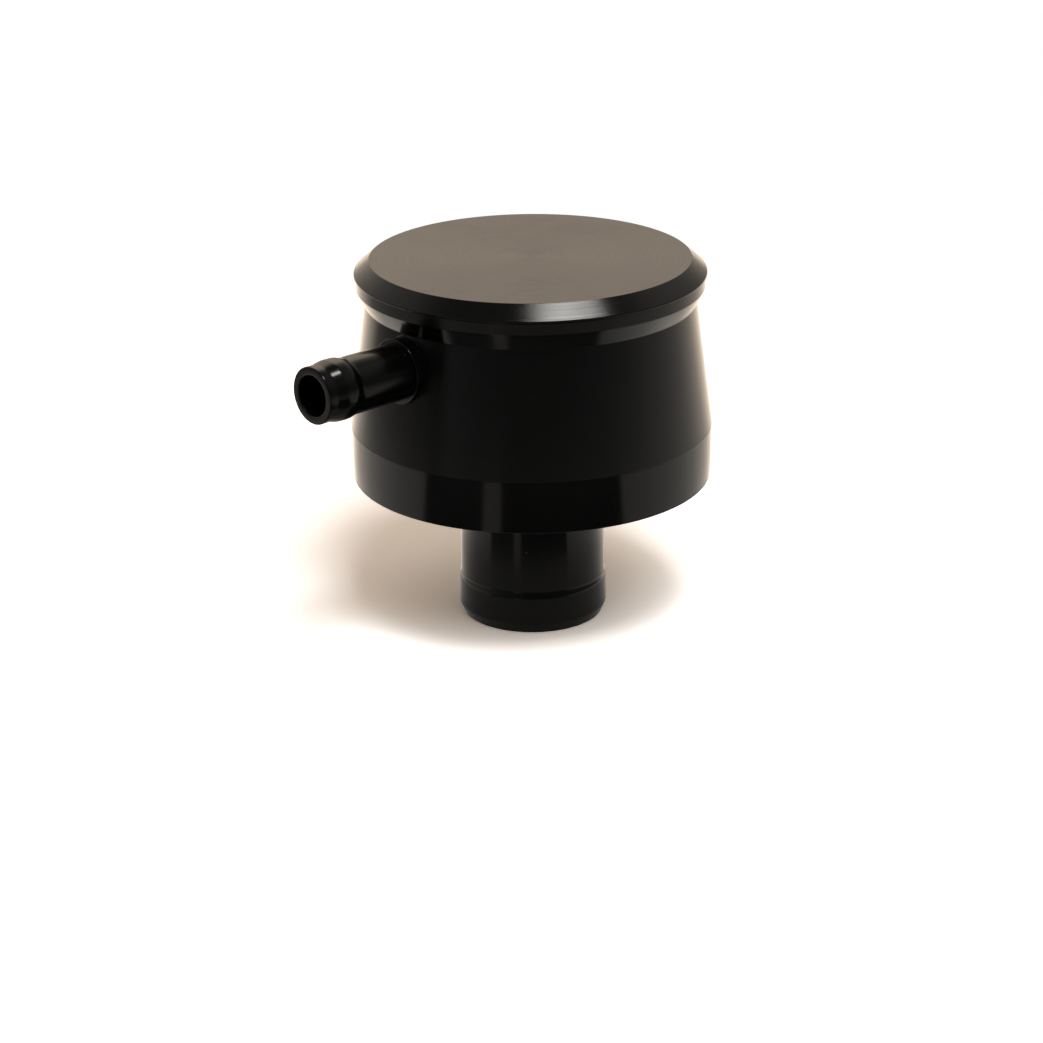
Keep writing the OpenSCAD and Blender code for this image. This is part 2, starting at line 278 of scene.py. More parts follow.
def anodised(name, finish, place=(0, 0, 0), turn=(0, 0, 0)):
    # Black dyed anodising: dark body colour under a clear hard film
    material, tree, shader = newMaterial(name)
    spot = objectVector(tree, place, turn)
    marks = useGroup(tree, toolMarks, Vector=spot, Pitch=finish["markPitch"],
                     Chatter=finish["chatter"])
    touch = useGroup(tree, handling, Vector=spot, Size=blackTouch["smudgeSize"],
                     Dust=finish["dust"])
    colour = blendColour(tree, marks["Sheen"], (*finish["dark"], 1), (*finish["light"], 1))
    colour = blendColour(tree, touch["Specks"], colour, (*blackTouch["speck"], 1))
    feed(tree, shader.inputs["Base Color"], colour)
    streak = calc(tree, "MULTIPLY", calc(tree, "SUBTRACT", marks["Marks"], 0.5), finish["streak"])
    rough = calc(tree, "ADD", finish["roughness"], streak)
    smudge = calc(tree, "MULTIPLY", touch["Smudge"], blackTouch["smudgeRoughness"])
    feed(tree, shader.inputs["Roughness"], calc(tree, "ADD", rough, smudge))
    shader.inputs["IOR"].default_value = finish["ior"]
    shader.inputs["Anisotropic"].default_value = finish["anisotropy"]
    shader.inputs["Anisotropic Rotation"].default_value = quarterTurn
    addBump(tree, shader, marks["Marks"], finish["markDepth"])
    return material


def bareMetal(name, finish):
    material, tree, shader = newMaterial(name)
    spot = objectVector(tree)
    marks = useGroup(tree, toolMarks, Vector=spot, Pitch=finish["markPitch"],
                     Chatter=metalTouch["chatter"])
    touch = useGroup(tree, handling, Vector=spot, Size=metalTouch["smudgeSize"],
                     Dust=metalTouch["dust"])
    feed(tree, shader.inputs["Base Color"],
         blendColour(tree, marks["Sheen"], (*finish["dark"], 1), (*finish["light"], 1)))
    shader.inputs["Metallic"].default_value = 1
    smudge = calc(tree, "MULTIPLY", touch["Smudge"], metalTouch["smudgeRoughness"])
    feed(tree, shader.inputs["Roughness"], calc(tree, "ADD", finish["roughness"], smudge))
    addBump(tree, shader, marks["Marks"], finish["markDepth"])
    return material


def sealRubber(name, finish):
    material, tree, shader = newMaterial(name)
    spot = objectVector(tree)
    touch = useGroup(tree, handling, Vector=spot, Size=finish["smudgeSize"], Dust=finish["dust"])
    feed(tree, shader.inputs["Base Color"],
         blendColour(tree, touch["Smudge"], (*finish["dark"], 1), (*finish["light"], 1)))
    feed(tree, shader.inputs["Roughness"],
         between(tree, touch["Smudge"], 0, 1, *finish["roughness"]))
    skin = texture(tree, "Noise", inputs={"Vector": spot, "Scale": finish["skinScale"]})
    addBump(tree, shader, skin[0], finish["skinDepth"])
    return material


def openFoam(name, finish):
    material, tree, shader = newMaterial(name)
    # Darker towards the middle of each cell: painted shade in the pores; the struts keep the foam's
    # own colour
    cells = texture(tree, "Voronoi", feature="DISTANCE_TO_EDGE", inputs={
        "Vector": objectVector(tree), "Scale": finish["cellScale"]})
    strut = between(tree, cells["Distance"], *finish["strutEdge"])
    feed(tree, shader.inputs["Base Color"],
         blendColour(tree, strut, (*finish["dark"], 1), (*finish["light"], 1)))
    feed(tree, shader.inputs["Roughness"], between(tree, strut, 0, 1, *finish["roughness"]))
    addBump(tree, shader, strut, finish["cellDepth"])
    return material


quarterTurn = 0.25      # of a whole turn, for the direction of the stretched highlights
blackTouch = {"smudgeSize": 9.0, "smudgeRoughness": 0.03, "speck": (0.05, 0.048, 0.045)}
metalTouch = {"smudgeSize": 5.0, "smudgeRoughness": 0.12, "dust": 0.2, "chatter": 0.6}
lidFinish = {"dark": (0.0006, 0.0006, 0.0005), "light": (0.0014, 0.0013, 0.0012),
             "roughness": 0.20, "ior": 1.5, "anisotropy": 0.75, "streak": 0.28, "markPitch": 0.55,
             "markDepth": 0.0008, "chatter": 0.04, "dust": 0.3}
wallFinish = {"dark": (0.0005, 0.0005, 0.0005), "light": (0.0012, 0.0011, 0.0010),
              "roughness": 0.16, "ior": 1.5, "anisotropy": 0.75, "streak": 0.06, "markPitch": 0.30,
              "markDepth": 0.0003, "chatter": 0.05, "dust": 0.3}
barbFinish = {**wallFinish, "roughness": 0.17, "ior": 1.42, "anisotropy": 0.0,
              "markPitch": 0.40, "markDepth": 0.0008, "chatter": 0.1}
alloyFinish = {"dark": (0.62, 0.62, 0.61), "light": (0.78, 0.78, 0.77), "roughness": 0.3,
               "markPitch": 0.3, "markDepth": 0.002}
steelFinish = {"dark": (0.46, 0.46, 0.45), "light": (0.60, 0.60, 0.59), "roughness": 0.26,
               "markPitch": 0.2, "markDepth": 0.001}
springFinish = {"dark": (0.20, 0.20, 0.21), "light": (0.34, 0.34, 0.35), "roughness": 0.34,
                "markPitch": 0.25, "markDepth": 0.001}
rubberFinish = {"dark": (0.012, 0.012, 0.012), "light": (0.022, 0.021, 0.02),
                "roughness": (0.42, 0.6), "smudgeSize": 3.0, "dust": 1.0, "skinScale": 4500,
                "skinDepth": 0.01}
# For the foam, dark is painted shade in the middles of the cells and light is the foam's own colour
foamFinish = {"dark": (0.008, 0.010, 0.013), "light": (0.060, 0.075, 0.095),
              "roughness": (0.95, 0.7), "cellScale": 900, "strutEdge": (0.22, 0.04),
              "cellDepth": 0.3}

barbAxisHeight = 62.1
lidBlack = anodised("lidBlack", lidFinish)
bodyBlack = anodised("bodyBlack", wallFinish)
baseBlack = anodised("baseBlack", wallFinish)
barbBlack = anodised("barbBlack", barbFinish, place=(0, 0, barbAxisHeight * mm),
                     turn=(0, math.radians(-90), 0))
bareAlloy = bareMetal("bareAlloy", alloyFinish)
screenSteel = bareMetal("screenSteel", steelFinish)
fixingSteel = bareMetal("fixingSteel", steelFinish)
springSteel = bareMetal("springSteel", springFinish)
blackRubber = sealRubber("blackRubber", rubberFinish)
filterFoam = openFoam("filterFoam", foamFinish)
print("materials made")


# Geometry trees

mergeDistance = 0.002
grooveForm = {
    "widen": 1.25,          # leaves a flat at the bottom of the groove
    "runOut": 0.7,          # share of a pitch over which the groove fades at its ends
    "onFace": 0.02,
}
poreEdge = (0.06, 0.3)      # from the wall of a cell to its open middle


def finishTree(tree, geometry, material, out):
    real = addNode(tree, "GeometryNodeRealizeInstances")
    feed(tree, real.inputs[0], geometry)
    dress = addNode(tree, "GeometryNodeSetMaterial")
    feed(tree, dress.inputs["Geometry"], real.outputs[0])
    feed(tree, dress.inputs["Material"], material)
    feed(tree, out.inputs[0], dress.outputs[0])


def makeTurnedForm():
    # Turns a profile, drawn as radius in X and height in Z, once round the Z axis
    tree, given, out = newTree("turnedForm", "GeometryNodeTree", [
        ("Geometry", "NodeSocketGeometry", None), ("Segments", "NodeSocketInt", 256),
        ("Material", "NodeSocketMaterial", None)], [("Geometry", "NodeSocketGeometry")])
    tree.is_modifier = True
    size = addNode(tree, "GeometryNodeAttributeDomainSize", component="MESH")
    feed(tree, size.inputs[0], given.outputs["Geometry"])
    count = size.outputs["Point Count"]
    grid = addNode(tree, "GeometryNodeMeshGrid")
    grid.inputs["Size X"].default_value = 1
    grid.inputs["Size Y"].default_value = 1
    feed(tree, grid.inputs["Vertices X"], calc(tree, "ADD", given.outputs["Segments"], 1))
    feed(tree, grid.inputs["Vertices Y"], count)
    across, along, level = split(tree, addNode(tree, "GeometryNodeInputPosition").outputs[0])
    angle = calc(tree, "MULTIPLY", calc(tree, "ADD", across, 0.5), math.tau)
    row = calc(tree, "MULTIPLY", calc(tree, "ADD", along, 0.5), calc(tree, "SUBTRACT", count, 1))
    sample = addNode(tree, "GeometryNodeSampleIndex", data_type="FLOAT_VECTOR", domain="POINT")
    feed(tree, sample.inputs["Geometry"], given.outputs["Geometry"])
    feed(tree, sample.inputs["Value"], addNode(tree, "GeometryNodeInputPosition").outputs[0])
    feed(tree, sample.inputs["Index"], calc(tree, "ROUND", row))
    radius, aside, height = split(tree, sample.outputs["Value"])
    turned = combine(tree, calc(tree, "MULTIPLY", radius, calc(tree, "COSINE", angle)),
                     calc(tree, "MULTIPLY", radius, calc(tree, "SINE", angle)), height)
    place = addNode(tree, "GeometryNodeSetPosition")
    feed(tree, place.inputs["Geometry"], grid.outputs["Mesh"])
    feed(tree, place.inputs["Position"], turned)
    merge = addNode(tree, "GeometryNodeMergeByDistance")
    feed(tree, merge.inputs["Geometry"], place.outputs[0])
    merge.inputs["Distance"].default_value = mergeDistance * mm
    smooth = addNode(tree, "GeometryNodeSetShadeSmooth")
    feed(tree, smooth.inputs["Geometry"], merge.outputs[0])
    finishTree(tree, smooth.outputs[0], given.outputs["Material"], out)
    return tree


def makeScrewThread(form):
    # Cuts a helical groove into the turned face that stands at Radius. Depth is towards the axis
    tree, given, out = newTree("screwThread", "GeometryNodeTree", [
        ("Geometry", "NodeSocketGeometry", None), ("Radius", "NodeSocketFloat", 30.0),
        ("Low", "NodeSocketFloat", 0.0), ("High", "NodeSocketFloat", 5.0),
        ("Pitch", "NodeSocketFloat", 1.5), ("Depth", "NodeSocketFloat", 0.5),
        ("Material", "NodeSocketMaterial", None)], [("Geometry", "NodeSocketGeometry")])
    tree.is_modifier = True
    pitch, low, high = (given.outputs[name] for name in ("Pitch", "Low", "High"))
    position = addNode(tree, "GeometryNodeInputPosition").outputs[0]
    x, y, z = split(tree, vector(tree, "SCALE", position, scale=1 / mm))
    radius = vector(tree, "LENGTH", combine(tree, x, y, 0))
    turn = calc(tree, "DIVIDE", calc(tree, "ARCTAN2", y, x), math.tau)
    phase = calc(tree, "FRACT", calc(tree, "SUBTRACT", calc(tree, "DIVIDE", z, pitch), turn))
    ridge = calc(tree, "ABSOLUTE", calc(tree, "SUBTRACT", calc(tree, "MULTIPLY", phase, 2), 1))
    groove = calc(tree, "MULTIPLY", calc(tree, "SUBTRACT", 1, ridge), form["widen"], clamp=True)
    runOut = calc(tree, "MULTIPLY", pitch, form["runOut"])
    rise = between(tree, z, low, calc(tree, "ADD", low, runOut))
    fall = between(tree, z, high, calc(tree, "SUBTRACT", high, runOut))
    away = calc(tree, "ABSOLUTE", calc(tree, "SUBTRACT", radius, given.outputs["Radius"]))
    onFace = calc(tree, "LESS_THAN", away, form["onFace"])
    cut = calc(tree, "MULTIPLY", calc(tree, "MULTIPLY", rise, fall),
               calc(tree, "MULTIPLY", groove, onFace))
    move = calc(tree, "MULTIPLY", calc(tree, "MULTIPLY", cut, given.outputs["Depth"]), -mm)
    outward = vector(tree, "NORMALIZE", combine(tree, x, y, 0))
    place = addNode(tree, "GeometryNodeSetPosition")
    feed(tree, place.inputs["Geometry"], given.outputs["Geometry"])
    feed(tree, place.inputs["Offset"], vector(tree, "SCALE", outward, scale=move))
    finishTree(tree, place.outputs[0], given.outputs["Material"], out)
    return tree


def makeFoamPores():
    # Sinks open cells into the skin of a pad
    tree, given, out = newTree("foamPores", "GeometryNodeTree", [
        ("Geometry", "NodeSocketGeometry", None), ("Cell", "NodeSocketFloat", 1.1),
        ("Depth", "NodeSocketFloat", 0.3), ("Seed", "NodeSocketFloat", 4.0),
        ("Material", "NodeSocketMaterial", None)], [("Geometry", "NodeSocketGeometry")])
    tree.is_modifier = True
    cells = texture(tree, "Voronoi", voronoi_dimensions="4D", feature="DISTANCE_TO_EDGE", inputs={
        "Vector": addNode(tree, "GeometryNodeInputPosition").outputs[0],
        "W": given.outputs["Seed"],
        "Scale": calc(tree, "DIVIDE", 1 / mm, given.outputs["Cell"])})
    pit = between(tree, cells["Distance"], *poreEdge)
    sink = calc(tree, "MULTIPLY", calc(tree, "MULTIPLY", pit, given.outputs["Depth"]), -mm)
    place = addNode(tree, "GeometryNodeSetPosition")
    feed(tree, place.inputs["Geometry"], given.outputs["Geometry"])
    feed(tree, place.inputs["Offset"],
         vector(tree, "SCALE", addNode(tree, "GeometryNodeInputNormal").outputs[0], scale=sink))
    finishTree(tree, place.outputs[0], given.outputs["Material"], out)
    return tree


turnedForm = makeTurnedForm()
screwThread = makeScrewThread(grooveForm)
foamPores = makeFoamPores()


# Profiles and turned pieces, drawn as radius and height

arcStep = 14                # degrees
cleanForm = {"doubles": 0.001, "degenerate": 0.0005}
shadeForm = {"sharp": 34, "weight": 60}


def rounded(corners, closed=True):
    # Corners are (radius, height) or (radius, height, round); rounds become arcs
    points = []
    last = len(corners) - 1
    for place, corner in enumerate(corners):
        here = Vector(corner[:2])
        size = corner[2] if len(corner) > 2 else 0
        if not size or (not closed and place in (0, last)):
            points.append(tuple(here))
            continue
        before = (Vector(corners[place - 1][:2]) - here).normalized()
        after = (Vector(corners[(place + 1) % len(corners)][:2]) - here).normalized()
        opening = before.angle(after)
        cut = size / math.tan(opening / 2)
        centre = here + (before + after).normalized() * (size / math.sin(opening / 2))
        start = here + before * cut - centre
        end = here + after * cut - centre
        first = math.atan2(start.y, start.x)
        sweep = (math.atan2(end.y, end.x) - first + math.pi) % math.tau - math.pi
        steps = max(3, math.ceil(abs(math.degrees(sweep)) / arcStep))
        for i in range(steps + 1):
            angle = first + sweep * i / steps
            points.append((centre.x + size * math.cos(angle), centre.y + size * math.sin(angle)))
    return points + points[:1] if closed else points


def swell(r0, s0, r1, s1, steps=12, blend=0.5):
    # Change of radius between two places along a profile, rounded over blend at each end
    points = []
    for i in range(steps + 1):
        t = i / steps
        near = min(t, 1 - t)
        share = near * near / (2 * blend) if near < blend else near - blend / 2
        share /= 1 - blend
        points.append((r0 + (r1 - r0) * (share if t < 0.5 else 1 - share), s0 + (s1 - s0) * t))
    return points


def withRows(points, radius, low, high, step):
    # More rows on the upright face at a radius, for a thread to be cut in
    result = []
    for (r0, z0), (r1, z1) in zip(points, points[1:]):
        result.append((r0, z0))
        upright = abs(r0 - radius) < 0.01 and abs(r1 - radius) < 0.01
        if upright and min(z0, z1) < high and max(z0, z1) > low:
            rows = math.ceil(abs(z1 - z0) / step)
            result += [(radius, z0 + (z1 - z0) * i / rows) for i in range(1, rows)]
    return result + points[-1:]


def setInput(modifier, name, value):
    for item in modifier.node_group.interface.items_tree:
        if item.item_type == "SOCKET" and item.in_out == "INPUT" and item.name == name:
            modifier[item.identifier] = value


def addTree(piece, tree, **values):
    modifier = piece.modifiers.new(tree.name, "NODES")
    modifier.node_group = tree
    for name, value in values.items():
        setInput(modifier, name, value)


def settle(piece):
    # Turns what the modifiers show into the piece's own plain mesh
    graph = bpy.context.evaluated_depsgraph_get()
    graph.update()
    shown = bpy.data.meshes.new_from_object(piece.evaluated_get(graph), depsgraph=graph)
    piece.modifiers.clear()
    piece.data = shown
    shown.name = piece.name
    return piece


def clean(piece):
    shape = bmesh.new()
    shape.from_mesh(piece.data)
    bmesh.ops.remove_doubles(shape, verts=shape.verts, dist=cleanForm["doubles"] * mm)
    bmesh.ops.dissolve_degenerate(shape, edges=shape.edges, dist=cleanForm["degenerate"] * mm)
    bmesh.ops.recalc_face_normals(shape, faces=shape.faces)
    shape.to_mesh(piece.data)
    shape.free()
    return piece


def smoothEdges(piece):
    # Flat faces keep their own normal and small rounds take the change
    piece.data.set_sharp_from_angle(angle=math.radians(shadeForm["sharp"]))
    weighted = piece.modifiers.new("evenShade", "WEIGHTED_NORMAL")
    weighted.keep_sharp = True
    weighted.weight = shadeForm["weight"]
    return settle(piece)


def pieceFromShape(name, shape):
    mesh = bpy.data.meshes.new(name)
    shape.to_mesh(mesh)
    shape.free()
    piece = bpy.data.objects.new(name, mesh)
    collection.objects.link(piece)
    return piece


def turnedPiece(name, points, material, segments=256, threads=()):
    profile = bpy.data.meshes.new(name + "Profile")
    profile.from_pydata([(r * mm, 0, z * mm) for r, z in points],
                        [(i, i + 1) for i in range(len(points) - 1)], [])
    piece = bpy.data.objects.new(name, profile)
    collection.objects.link(piece)
    addTree(piece, turnedForm, Segments=segments, Material=material)
    for thread in threads:
        addTree(piece, screwThread, Material=material, **thread)
    return clean(settle(piece))


def circle(r, z, size, count=20):
    points = [(r + size * math.cos(math.tau * i / count), z + size * math.sin(math.tau * i / count))
              for i in range(count)]
    return points + points[:1]


# The two coarse threads, lid in body and body on base
screwForm = {"pitch": 1.5, "rowsPerPitch": 10, "lidDepth": 0.6, "baseDepth": 0.5}
threadStep = screwForm["pitch"] / screwForm["rowsPerPitch"]


# Lid, with its threaded skirt and the groove for its seal

lidForm = {
    "ceiling": 75.0, "skirtInner": 28.51, "skirtLow": 68.5, "threadRadius": 31.71,
    "threadHigh": 71.95, "guideRadius": 32.26, "guideLow": 72.5, "grooveRadius": 30.61,
    "grooveLow": 73.1, "grooveHigh": 74.8, "underside": 75.45, "edgeRadius": 36.81,
    "edgeTop": 75.9, "faceRadius": 33.61, "face": 78.7,
    "rounds": {"ceiling": 1.0, "skirtInner": 0.15, "skirtOuter": 0.3, "grooveEdge": 0.08,
               "grooveFloor": 0.1, "underside": 0.1, "edgeLow": 0.14, "edgeTop": 0.28,
               "face": 0.14},
}


def makeLid(form):
    rounds = form["rounds"]
    guide, groove, land = form["guideRadius"], form["grooveRadius"], form["threadRadius"]
    corners = [
        (0, form["ceiling"]), (form["skirtInner"], form["ceiling"], rounds["ceiling"]),
        (form["skirtInner"], form["skirtLow"], rounds["skirtInner"]),
        (land, form["skirtLow"], rounds["skirtOuter"]), (land, form["threadHigh"]),
        (guide, form["guideLow"]), (guide, form["grooveLow"], rounds["grooveEdge"]),
        (groove, form["grooveLow"], rounds["grooveFloor"]),
        (groove, form["grooveHigh"], rounds["grooveFloor"]),
        (guide, form["grooveHigh"], rounds["grooveEdge"]),
        (guide, form["underside"], rounds["underside"]),
        (form["edgeRadius"], form["underside"], rounds["edgeLow"]),
        (form["edgeRadius"], form["edgeTop"], rounds["edgeTop"]),
        (form["faceRadius"], form["face"], rounds["face"]), (0, form["face"])]
    points = rounded(corners, closed=False)
    points = withRows(points, land, form["skirtLow"], form["threadHigh"], threadStep)
    thread = {"Radius": land, "Low": form["skirtLow"], "High": form["threadHigh"],
              "Pitch": screwForm["pitch"], "Depth": screwForm["lidDepth"]}
    piece = smoothEdges(turnedPiece("lidTurned", points, lidBlack, threads=[thread]))
    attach(piece, "lid")
    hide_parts("lid")
    return piece


lid = makeLid(lidForm)
print("lid made", len(lid.data.polygons))


# Conical body with its flare and rim

bodyForm = {
    "seam": 42.6, "coneLow": 38.3, "coneTop": 34.711, "coneTopHeight": 69.5,
    "rimLow": 72.7, "rimTop": 75.4, "rimRadius": 36.461,
    "bossBore": 34.061, "bossTop": 49.05, "chamber": 31.211,
    "ringGroove": 32.311, "ringLow": 52.7, "ringHigh": 54.0,
    "threadBore": 31.761, "threadLow": 67.9, "threadHigh": 71.9,
    "guideBore": 32.311, "guideLow": 72.45,
    "flareStep": 1.57,          # from the top of the cone out to the rim's lower edge
    "flareDrop": 0.06, "rimEdge": 0.3, "threadRelief": 0.55,
    "baseThreadStart": 2.8,     # above the seam
    "rounds": {"foot": 0.1, "seam": 0.13, "cone": 0.12, "flare": 0.1, "rimLow": 0.1,
               "rimTop": 0.16, "mouth": 0.35},
    "seatDistance": 34.398, "seatRadius": 6.9, "seatCut": 10,
    "shankHole": 5.05, "shankCutInside": 3, "shankCut": 12, "cutSegments": 128,
}


def cutterCylinder(name, radius, start, length, segments):
    # Runs along -X at the hose barb's height
    shape = bmesh.new()
    bmesh.ops.create_cone(shape, cap_ends=True, segments=segments, radius1=radius * mm,
                          radius2=radius * mm, depth=length * mm)
    shape.transform(Matrix.Translation((-(start + length / 2) * mm, 0, barbAxisHeight * mm))
                    @ Matrix.Rotation(math.radians(90), 4, "Y"))
    return pieceFromShape(name, shape)


def cutWith(piece, cutter):
    cut = piece.modifiers.new("cut", "BOOLEAN")
    cut.operation = "DIFFERENCE"
    cut.solver = "EXACT"
    cut.object = cutter
    settle(piece)
    bpy.data.objects.remove(cutter)


def makeBody(form):
    rounds = form["rounds"]
    corners = [
        (form["bossBore"], form["seam"], rounds["foot"]),
        (form["coneLow"], form["seam"], rounds["seam"]),
        (form["coneTop"], form["coneTopHeight"], rounds["cone"]),
        (form["coneTop"] + form["flareStep"], form["rimLow"] - form["flareDrop"], rounds["flare"]),
        (form["rimRadius"], form["rimLow"] + form["rimEdge"], rounds["rimLow"]),
        (form["rimRadius"], form["rimTop"], rounds["rimTop"]),
        (form["guideBore"], form["rimTop"], rounds["mouth"]),
        (form["guideBore"], form["guideLow"]), (form["threadBore"], form["threadHigh"]),
        (form["threadBore"], form["threadLow"]),
        (form["chamber"], form["threadLow"] - form["threadRelief"]),
        (form["chamber"], form["ringHigh"]), (form["ringGroove"], form["ringHigh"]),
        (form["ringGroove"], form["ringLow"]), (form["chamber"], form["ringLow"]),
        (form["chamber"], form["bossTop"]), (form["bossBore"], form["bossTop"])]
    points = rounded(corners)
    points = withRows(points, form["threadBore"], form["threadLow"], form["threadHigh"], threadStep)
    points = withRows(points, form["bossBore"], form["seam"], form["bossTop"], threadStep)
    lidThread = {"Radius": form["threadBore"], "Low": form["threadLow"], "High": form["threadHigh"],
                 "Pitch": screwForm["pitch"], "Depth": -screwForm["lidDepth"]}
    baseThread = {"Radius": form["bossBore"], "Low": form["seam"] + form["baseThreadStart"],
                  "High": form["bossTop"], "Pitch": screwForm["pitch"],
                  "Depth": -screwForm["baseDepth"]}
    piece = turnedPiece("bodyTurned", points, bodyBlack, threads=[lidThread, baseThread])
    cutWith(piece, cutterCylinder("seatCutter", form["seatRadius"], form["seatDistance"],
                                  form["seatCut"], form["cutSegments"]))
    cutWith(piece, cutterCylinder("shankCutter", form["shankHole"],
                                  form["chamber"] - form["shankCutInside"], form["shankCut"],
                                  form["cutSegments"]))
    clean(piece)
    smoothEdges(piece)
    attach(piece, "housing")
    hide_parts("body")
    return piece


body = makeBody(bodyForm)
print("body made", len(body.data.polygons))


# Base with the push-in neck

baseForm = {
    "bore": 12.7, "neck": 15.45, "bead": 15.9, "leadIn": 2.2, "beadTop": 7.7, "beadEnd": 9.5,
    "shoulder": 31.7, "band": 38.1, "seam": 42.6, "boss": 34.011, "bossTop": 49.0,
    "sealFloor": 32.361, "sealLow": 43.35, "sealHigh": 45.05, "padBore": 31.011,
    "ledge": 42.7, "ledgeRadius": 29.511, "floor": 35.3, "drainFall": 0.6,
    "landOuter": 24.01, "landInner": 17.01,
    "footStep": 0.45,           # the foot is this much narrower than the neck
    "beadSteps": 8, "beadFlatEnd": 0.01,
    "threadStart": 0.2,         # above the seal's groove
    "rounds": {"bore": 0.28, "foot": 0.12, "leadIn": 0.4, "shoulder": 0.9, "bandLow": 0.28,
               "seam": 0.13, "bossTop": 0.3, "padBore": 0.1, "drain": 0.2},
}


def makeBase(form):
    rounds = form["rounds"]
    bead = swell(form["bead"], form["beadTop"], form["neck"], form["beadEnd"], form["beadSteps"])
    corners = [
        (form["bore"], 0, rounds["bore"]), (form["neck"] - form["footStep"], 0, rounds["foot"]),
        (form["bead"], form["leadIn"], rounds["leadIn"]),
        (form["bead"], form["beadTop"] - form["beadFlatEnd"]), *bead[1:],
        (form["neck"], form["shoulder"], rounds["shoulder"]),
        (form["band"], form["shoulder"], rounds["bandLow"]),
        (form["band"], form["seam"], rounds["seam"]), (form["boss"], form["seam"]),
        (form["boss"], form["sealLow"]), (form["sealFloor"], form["sealLow"]),
        (form["sealFloor"], form["sealHigh"]), (form["boss"], form["sealHigh"]),
        (form["boss"], form["bossTop"], rounds["bossTop"]),
        (form["padBore"], form["bossTop"], rounds["padBore"]),
        (form["padBore"], form["ledge"]), (form["ledgeRadius"], form["ledge"]),
        (form["ledgeRadius"], form["floor"] + form["drainFall"]),
        (form["landOuter"], form["floor"]), (form["landInner"], form["floor"]),
        (form["bore"], form["floor"] - form["drainFall"], rounds["drain"])]
    points = rounded(corners)
    points = withRows(points, form["boss"], form["sealHigh"], form["bossTop"], threadStep)
    thread = {"Radius": form["boss"], "Low": form["sealHigh"] + form["threadStart"],
              "High": form["bossTop"], "Pitch": screwForm["pitch"], "Depth": screwForm["baseDepth"]}
    piece = smoothEdges(turnedPiece("baseTurned", points, baseBlack, threads=[thread]))
    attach(piece, "housing")
    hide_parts("base")
    return piece


base = makeBase(baseForm)
print("base made", len(base.data.polygons))


# Hose barb, turned along its own axis and then laid on -X

barbForm = {
    "seat": 34.398, "length": 24.6, "bore": 4.2, "tube": 5.9, "bulge": 6.35,
    "bulgeStart": 15.5, "crestStart": 18.5, "crestEnd": 19.8, "bulgeEnd": 22.9,
    "collar": 6.75, "collarLength": 2.9, "shank": 5.0, "shankLength": 5.187,
    "sealInner": 5.025, "sealOuter": 6.075, "sealDepth": 1.0,
    "lipSteps": 14, "lipBlend": 0.22, "segments": 160,
    "threadPitch": 1.0, "threadDepth": 0.35, "threadEnd": 0.3, "threadRelief": 0.4,
    "threadStep": 0.12,
    "rounds": {"shankBore": 0.15, "shank": 0.3, "collarLow": 0.12, "collarHigh": 0.2,
               "tube": 0.35, "lip": 0.28, "mouth": 0.3},
}


def layOnBarbAxis(piece):
    # From its own axis, Z, to the barb's place on -X
    piece.data.transform(Matrix.Translation((-barbForm["seat"] * mm, 0, barbAxisHeight * mm))
                         @ Matrix.Rotation(math.radians(-90), 4, "Y"))


def makeBarb(form):
    rounds = form["rounds"]
    shankLow = -form["shankLength"]
    corners = [
        (form["bore"], shankLow, rounds["shankBore"]), (form["shank"], shankLow, rounds["shank"]),
        (form["shank"], -form["threadRelief"]), (form["shank"], 0), (form["sealInner"], 0),
        (form["sealInner"], form["sealDepth"]), (form["sealOuter"], form["sealDepth"]),
        (form["sealOuter"], 0), (form["collar"], 0, rounds["collarLow"]),
        (form["collar"], form["collarLength"], rounds["collarHigh"]),
        (form["tube"], form["collarLength"], rounds["tube"])]
    points = rounded(corners, closed=False)
    points += swell(form["tube"], form["bulgeStart"], form["bulge"], form["crestStart"])
    points += swell(form["bulge"], form["crestEnd"], form["tube"], form["bulgeEnd"],
                    form["lipSteps"], form["lipBlend"])
    points += rounded([(form["tube"], form["bulgeEnd"]),
                       (form["tube"], form["length"], rounds["lip"]),
                       (form["bore"], form["length"], rounds["mouth"]),
                       (form["bore"], 0)], closed=False)[1:-1]
    points.append(points[0])
    points = withRows(points, form["shank"], shankLow, -form["threadRelief"], form["threadStep"])
    thread = {"Radius": form["shank"], "Low": shankLow + form["threadEnd"],
              "High": -form["threadEnd"], "Pitch": form["threadPitch"],
              "Depth": form["threadDepth"]}
    piece = turnedPiece("hoseBarbTurned", points, barbBlack, segments=form["segments"],
                        threads=[thread])
    layOnBarbAxis(piece)
    smoothEdges(piece)
    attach(piece, "housing")
    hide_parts("hose_barb")
    return piece


barb = makeBarb(barbForm)
print("hose barb made", len(barb.data.polygons))


# Seals

sealForms = {
    "lid_seal": {"ring": 31.461, "height": 73.95, "size": 0.8, "body": "seal_carriage"},
    "base_seal": {"ring": 33.211, "height": 44.2, "size": 0.8, "body": "housing"},
    "barb_seal": {"ring": 5.55, "height": 0.5, "size": 0.475, "body": "housing"},
}
sealSegments = 160


def makeSeal(node, form):
    piece = turnedPiece(node + "_ring", circle(form["ring"], form["height"], form["size"]),
                        blackRubber, segments=sealSegments)
    if node == "barb_seal":
        layOnBarbAxis(piece)
    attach(piece, form["body"])
    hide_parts(node)


for sealNode, sealForm in sealForms.items():
    makeSeal(sealNode, sealForm)
print("seals made")


# Filter pads

padForms = {
    "lower_pad": {"low": 43.7, "high": 47.7, "seed": 2.0},
    "upper_pad": {"low": 47.7, "high": 51.7, "seed": 7.0},
}
padShape = {"radius": 30.961, "edge": 0.8, "cell": 1.3, "poreDepth": 0.35, "rowStep": 0.55,
            "segments": 300}


